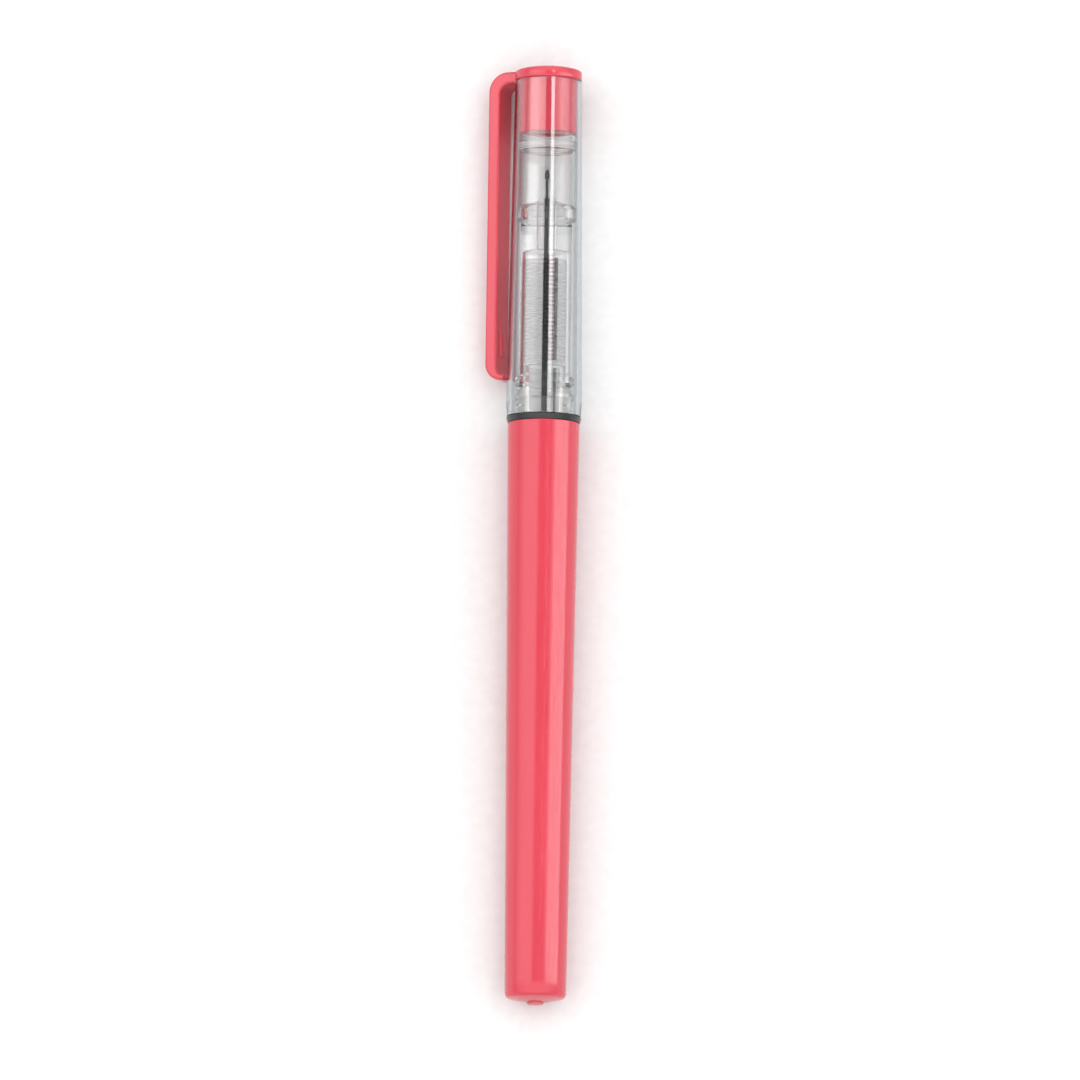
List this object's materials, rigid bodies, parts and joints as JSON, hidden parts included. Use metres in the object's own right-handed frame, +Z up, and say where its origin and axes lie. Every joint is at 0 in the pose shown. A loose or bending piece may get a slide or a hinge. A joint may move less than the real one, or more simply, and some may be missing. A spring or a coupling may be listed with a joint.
{
  "type": "brush pen",
  "caption": "Slim refillable brush pen with a clear friction-fit cap, coral clip and screw-on barrel, and a clear grip that shows its ink collector and wick.",
  "frame": {"origin": "On the table under the middle of the pen's length and of its width, clip included. The pen lies at rest on the rim of its barrel, the rim of its cap and the edge of its clip.", "axes": "+Y along the pen from its tail to the dome of its cap, which rises by 0.68 degrees because the cap is thicker than the tail; +X away from the clip; +Z up from the table. The clip points at -X, 25.5 degrees below the horizontal."},
  "size_m": [0.0144, 0.14, 0.0112],
  "materials": {
    "coral_plastic": "opaque coral red, polished mould",
    "coral_plug_plastic": "opaque duller coral red",
    "black_plastic": "satin black",
    "clear_plastic": "clear, polished",
    "smoke_plastic": "clear with a light grey tint",
    "cap_plastic": "water clear, high polish",
    "collector_plastic": "translucent grey, satin",
    "wick_fibre": "bonded fibre soaked with black ink",
    "brush_fibre": "soft nylon point wet with black ink",
    "cartridge_plastic": "milky clear",
    "ball_steel": "polished steel",
    "ink": "liquid black ink"
  },
  "bodies": {
    "section": {"connector": "clear_plastic", "section_shell": "smoke_plastic", "collector": "collector_plastic", "feed_wick": "wick_fibre", "tip_holder": "clear_plastic", "brush_tip": "brush_fibre"},
    "cap": {"cap_shell": "cap_plastic", "inner_cap": "cap_plastic", "clip_plug": "coral_plastic"},
    "ring": {"collar_ring": "black_plastic"},
    "barrel": {"barrel": "coral_plastic", "tail_plug": "coral_plug_plastic"},
    "cartridge": {"cartridge_tube": "cartridge_plastic", "cartridge_ball": "ball_steel", "ink_charge": "ink"}
  },
  "joints": [
    {"name": "cap_pull", "type": "slide", "parent": "section", "child": "cap", "axis": [0, 0.9999, 0.0118], "range_m": [0, 0.045]},
    {"name": "barrel_turn", "type": "hinge", "parent": "section", "child": "ring", "pos_m": [0.00159, 0.017, 0.00556], "axis": [0, -0.9999, -0.0118], "range_deg": [0, 1080]},
    {"name": "barrel_back_off", "type": "slide", "parent": "ring", "child": "barrel", "axis": [0, -0.9999, -0.0118], "range_m": [0, 0.0045]},
    {"name": "cartridge_pull", "type": "slide", "parent": "section", "child": "cartridge", "axis": [0, -0.9999, -0.0118], "range_m": [0, 0.008]}
  ],
  "couplings": [
    {"joint": "barrel_turn", "follows": "barrel_back_off", "rad_per_m": 4188.8}
  ]
}
